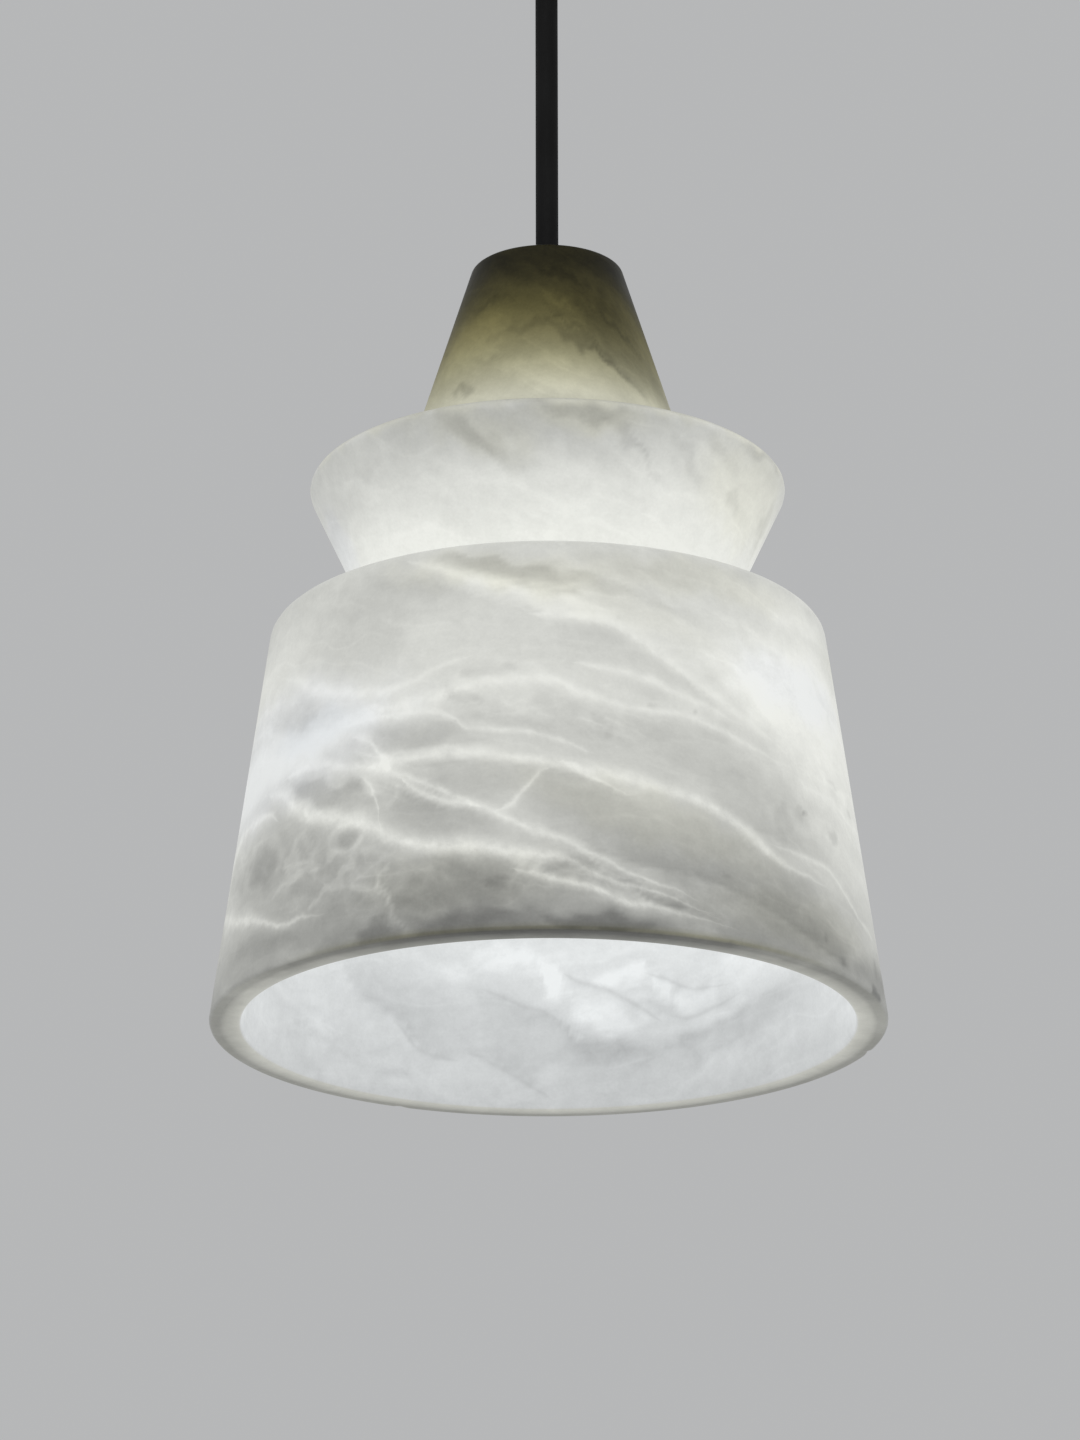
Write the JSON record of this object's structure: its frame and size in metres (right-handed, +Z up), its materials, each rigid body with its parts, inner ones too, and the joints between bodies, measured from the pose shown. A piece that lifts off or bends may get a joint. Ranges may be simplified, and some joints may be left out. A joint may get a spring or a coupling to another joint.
{
  "type": "pendant light",
  "caption": "Pendant light of three stacked turned alabaster pieces, an open bell shade at the bottom, hung on a round cord from a ceiling canopy.",
  "frame": {"origin": "middle of the ceiling face, where the bracket and the canopy's rim meet the ceiling", "axes": "+Z up into the ceiling, the lamp hangs along -Z; +X along the ceiling bracket; the picture's camera looks along +Y and a little up"},
  "size_m": [0.1996, 0.1996, 0.4142],
  "materials": {
    "alabaster": "polished translucent alabaster with cloudy veins",
    "silicone": "clear soft silicone",
    "black_metal": "satin black powder coat",
    "zinc_steel": "bright zinc plate",
    "white_steel": "white powder coat",
    "brass": "bare pressed brass",
    "block_plastic": "natural nylon",
    "porcelain": "white glazed porcelain",
    "cord_black": "matte black round cord",
    "lead_brown": "brown insulation",
    "lead_blue": "blue insulation",
    "lead_green": "green and yellow insulation",
    "opal_globe": "opal diffuser",
    "bulb_white": "white moulded housing",
    "bulb_cap_metal": "nickel-plated screw cap",
    "bulb_black": "black glass insulator",
    "board_metal": "aluminium board with light chips",
    "board_green": "printed circuit board"
  },
  "bodies": {
    "ceiling_mount": {"ceiling_bracket": "zinc_steel", "canopy": "black_metal", "canopy_screws": "black_metal", "terminal_block": "block_plastic", "terminal_barrels": "brass", "terminal_screws": "zinc_steel", "terminal_block_screw": "zinc_steel", "bracket_earth_lug": "zinc_steel", "bracket_earth_screw": "zinc_steel", "canopy_gland": "black_metal", "canopy_gland_washer": "zinc_steel", "canopy_gland_nut": "zinc_steel", "canopy_gland_screw": "zinc_steel", "cord_in_canopy": "cord_black", "canopy_live_lead": "lead_brown", "canopy_neutral_lead": "lead_blue", "canopy_earth_lead": "lead_green"},
    "cord_flex": {"cord_bend": "cord_black"},
    "lamp": {"shade_stone": "alabaster", "collar_stone": "alabaster", "cap_stone": "alabaster", "cap_gasket": "silicone", "collar_gasket": "silicone", "carrier_gasket": "silicone", "ring_gasket": "silicone", "cap_pad": "silicone", "cap_cord_grip": "black_metal", "lampholder_cap": "black_metal", "lampholder_body": "black_metal", "cap_grip_screw": "zinc_steel", "cap_nut": "zinc_steel", "cap_washer": "zinc_steel", "threaded_tube": "zinc_steel", "carrier_plate": "zinc_steel", "carrier_washer": "zinc_steel", "carrier_nut": "zinc_steel", "hanger_rods": "zinc_steel", "hanger_locknuts": "zinc_steel", "hanger_washers": "zinc_steel", "hanger_nuts": "zinc_steel", "lampholder_earth_screw": "zinc_steel", "lampholder_terminals": "zinc_steel", "support_ring": "white_steel", "lampholder_shell": "brass", "lampholder_contact": "brass", "lampholder_insert": "porcelain", "cord": "cord_black", "cord_in_cap": "cord_black", "lamp_live_lead": "lead_brown", "lamp_neutral_lead": "lead_blue", "lamp_earth_lead": "lead_green"},
    "bulb_centre": {"bulb_contact": "brass"},
    "bulb": {"bulb_screw_cap": "bulb_cap_metal", "bulb_insulator": "bulb_black", "bulb_housing": "bulb_white", "bulb_globe": "opal_globe", "bulb_led_board": "board_metal", "bulb_driver_board": "board_green"}
  },
  "joints": [
    {"name": "swing_side", "type": "hinge", "parent": "ceiling_mount", "child": "cord_flex", "pos_m": [0, 0, -0.044], "axis": [0, 1, 0], "range_deg": [-20, 20]},
    {"name": "swing_fore_aft", "type": "hinge", "parent": "cord_flex", "child": "lamp", "pos_m": [0, 0, -0.044], "axis": [1, 0, 0], "range_deg": [-20, 20]},
    {"name": "bulb_drop", "type": "slide", "parent": "lamp", "child": "bulb_centre", "axis": [0, 0, -1], "range_m": [0, 0.01995]},
    {"name": "bulb_turn", "type": "hinge", "parent": "bulb_centre", "child": "bulb", "pos_m": [0, 0, -0.3758], "axis": [0, 0, -1], "range_deg": [0, 1980]}
  ],
  "couplings": [
    {"joint": "bulb_turn", "follows": "bulb_drop", "rad_per_m": 1731.4}
  ]
}
